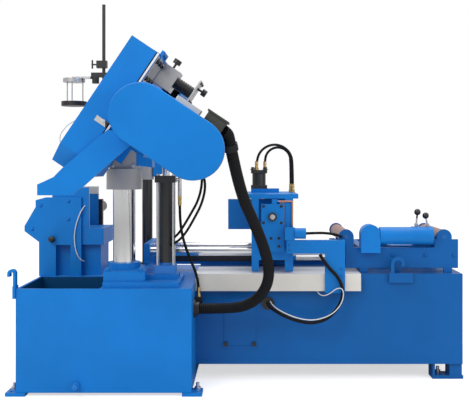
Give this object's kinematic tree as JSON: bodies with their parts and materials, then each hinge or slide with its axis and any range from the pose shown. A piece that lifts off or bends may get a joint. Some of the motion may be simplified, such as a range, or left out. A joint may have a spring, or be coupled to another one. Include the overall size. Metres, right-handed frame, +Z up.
{
  "type": "column band saw",
  "caption": "Leaning bow band saw on a chrome column, lifted by a cylinder, with an open chip tank, a vise, a feed carriage on round bars and a roller table.",
  "frame": {"origin": "middle of the footprint, on the floor", "axes": "+Z up, +X along the stock from the saw to the roller table, +Y along the band, away from the drive side"},
  "size_m": [2.176, 1.97, 1.824],
  "materials": {
    "blue_paint": "satin enamel, slight orange peel",
    "deep_blue_paint": "satin enamel, older coat",
    "grey_paint": "light grey enamel",
    "cream_paint": "cream enamel",
    "black_paint": "semi-gloss black",
    "chrome": "hard chrome, ground and polished",
    "bright_steel": "ground steel",
    "cast_iron": "machined cast iron",
    "red_steel": "steel with a reddish primer",
    "black_plastic": "moulded, fine grain",
    "black_rubber": "matt rubber"
  },
  "bodies": {
    "base": {"main_base": "blue_paint", "feet_and_hooks": "blue_paint", "column_pedestal": "blue_paint", "exit_panel": "blue_paint", "vise_bed": "blue_paint", "vise_fixed_jaw": "bright_steel", "main_column": "chrome", "far_guide_post": "black_paint", "hydraulic_cylinders": "black_paint", "steel_fasteners": "bright_steel", "base_fittings": "black_plastic", "access_panels": "deep_blue_paint", "feed_base": "deep_blue_paint", "drip_tray": "cream_paint", "feed_brackets": "blue_paint", "guide_bars": "chrome", "roller_frame": "blue_paint", "table_brackets": "blue_paint", "side_cylinder": "blue_paint", "base_hoses": "black_rubber", "carriage_cable": "black_rubber"},
    "saw_head": {"bow_frame": "blue_paint", "head_sleeves": "grey_paint", "lift_rod": "chrome", "front_arm": "blue_paint", "belt_guard": "blue_paint", "drive_plate": "bright_steel", "drive_belt": "black_rubber", "drive_motor": "deep_blue_paint", "terminal_box": "black_paint", "gearbox": "blue_paint", "valve_manifold": "grey_paint", "solenoid_coils": "black_plastic", "lamp_and_rod": "black_paint", "saw_band": "bright_steel", "conduit_hose": "black_rubber"},
    "motor_rotor": {"motor_pulley": "bright_steel"},
    "worm_shaft": {"gearbox_pulley": "bright_steel"},
    "drive_wheel_body": {"drive_wheel": "cast_iron"},
    "tension_block": {"tension_slide": "blue_paint"},
    "idler_wheel_body": {"idler_wheel": "cast_iron"},
    "handwheel_body": {"tension_handwheel": "bright_steel"},
    "brush_body": {"chip_brush": "bright_steel"},
    "near_cover": {"near_wheel_cover": "blue_paint", "near_cover_latch": "chrome"},
    "far_cover": {"far_wheel_cover": "blue_paint"},
    "guide_arm": {"far_guide_arm": "blue_paint"},
    "pressure_dial": {"pressure_knob": "black_plastic"},
    "feed_dial": {"feed_knob": "black_plastic"},
    "vise_jaw": {"vise_moving_jaw": "bright_steel"},
    "carriage": {"feed_carriage": "blue_paint", "carriage_plates": "blue_paint", "carriage_cylinders": "black_paint", "clamp_hoses": "black_rubber"},
    "feed_jaw": {"feed_moving_jaw": "bright_steel"},
    "top_clamp": {"clamp_ram": "bright_steel"},
    "roller_one": {"table_roller_1": "red_steel"},
    "roller_two": {"table_roller_2": "red_steel"},
    "lever_one": {"valve_lever_1": "black_plastic"},
    "lever_two": {"valve_lever_2": "black_plastic"}
  },
  "joints": [
    {"name": "head_lift", "type": "slide", "parent": "base", "child": "saw_head", "axis": [0, 0, 1], "range_m": [-0.325, 0], "deforming": ["conduit_hose"]},
    {"name": "motor_spin", "type": "hinge", "parent": "saw_head", "child": "motor_rotor", "pos_m": [-0.16873, -0.94, 1.10003], "axis": [0, 1, 0], "continuous": true},
    {"name": "worm_spin", "type": "hinge", "parent": "saw_head", "child": "worm_shaft", "pos_m": [-0.36776, -0.94, 1.23326], "axis": [0, 1, 0], "continuous": true},
    {"name": "drive_wheel_spin", "type": "hinge", "parent": "saw_head", "child": "drive_wheel_body", "pos_m": [-0.523, -0.59, 1.271], "axis": [0.831, 0, -0.5563], "continuous": true},
    {"name": "handwheel_turn", "type": "hinge", "parent": "saw_head", "child": "handwheel_body", "pos_m": [-0.40666, 0.85, 1.19312], "axis": [0, 1, 0], "range_deg": [-1080, 0]},
    {"name": "tension_travel", "type": "slide", "parent": "saw_head", "child": "tension_block", "axis": [0, 1, 0], "range_m": [-0.012, 0]},
    {"name": "idler_spin", "type": "hinge", "parent": "tension_block", "child": "idler_wheel_body", "pos_m": [-0.523, 0.69, 1.271], "axis": [0.831, 0, -0.5563], "continuous": true},
    {"name": "brush_spin", "type": "hinge", "parent": "saw_head", "child": "brush_body", "pos_m": [-0.61886, 0.385, 1.03433], "axis": [0, 1, 0], "continuous": true},
    {"name": "near_cover_hinge", "type": "hinge", "parent": "saw_head", "child": "near_cover", "pos_m": [-0.29572, -0.775, 1.48468], "axis": [0, 1, 0], "range_deg": [0, 75]},
    {"name": "far_cover_hinge", "type": "hinge", "parent": "saw_head", "child": "far_cover", "pos_m": [-0.29572, 0.875, 1.48468], "axis": [0, 1, 0], "range_deg": [0, 75]},
    {"name": "guide_arm_slide", "type": "slide", "parent": "saw_head", "child": "guide_arm", "axis": [0, 1, 0], "range_m": [-0.32, 0.04]},
    {"name": "pressure_knob_turn", "type": "hinge", "parent": "saw_head", "child": "pressure_dial", "pos_m": [-0.2647, -0.645, 1.4591], "axis": [0.5563, 0, 0.831], "range_deg": [-135, 135]},
    {"name": "feed_knob_turn", "type": "hinge", "parent": "saw_head", "child": "feed_dial", "pos_m": [-0.15674, -0.62, 1.35073], "axis": [0.831, 0, -0.5563], "range_deg": [-135, 135]},
    {"name": "vise_jaw_slide", "type": "slide", "parent": "base", "child": "vise_jaw", "axis": [0, 1, 0], "range_m": [-0.15, 0]},
    {"name": "carriage_feed", "type": "slide", "parent": "base", "child": "carriage", "axis": [1, 0, 0], "range_m": [-0.2, 0.19]},
    {"name": "feed_jaw_slide", "type": "slide", "parent": "carriage", "child": "feed_jaw", "axis": [0, 1, 0], "range_m": [-0.22, 0]},
    {"name": "top_clamp_slide", "type": "slide", "parent": "carriage", "child": "top_clamp", "axis": [0, 0, 1], "range_m": [-0.12, 0]},
    {"name": "roller_one_spin", "type": "hinge", "parent": "base", "child": "roller_one", "pos_m": [0.52, 0.158, 0.69], "axis": [0, 1, 0], "continuous": true},
    {"name": "roller_two_spin", "type": "hinge", "parent": "base", "child": "roller_two", "pos_m": [1.001, 0.158, 0.69], "axis": [0, 1, 0], "continuous": true},
    {"name": "lever_one_tilt", "type": "hinge", "parent": "base", "child": "lever_one", "pos_m": [0.878, -0.005, 0.7444], "axis": [0, 1, 0], "range_deg": [-10, 10]},
    {"name": "lever_two_tilt", "type": "hinge", "parent": "base", "child": "lever_two", "pos_m": [0.933, -0.005, 0.7444], "axis": [0, 1, 0], "range_deg": [-10, 10]}
  ],
  "couplings": [
    {"joint": "worm_spin", "follows": "motor_spin", "ratio": 1},
    {"joint": "drive_wheel_spin", "follows": "motor_spin", "ratio": 0.033333},
    {"joint": "idler_spin", "follows": "motor_spin", "ratio": 0.033333},
    {"joint": "brush_spin", "follows": "motor_spin", "ratio": 0.05},
    {"joint": "tension_travel", "follows": "handwheel_turn", "m_per_rad": 0.00063662}
  ]
}
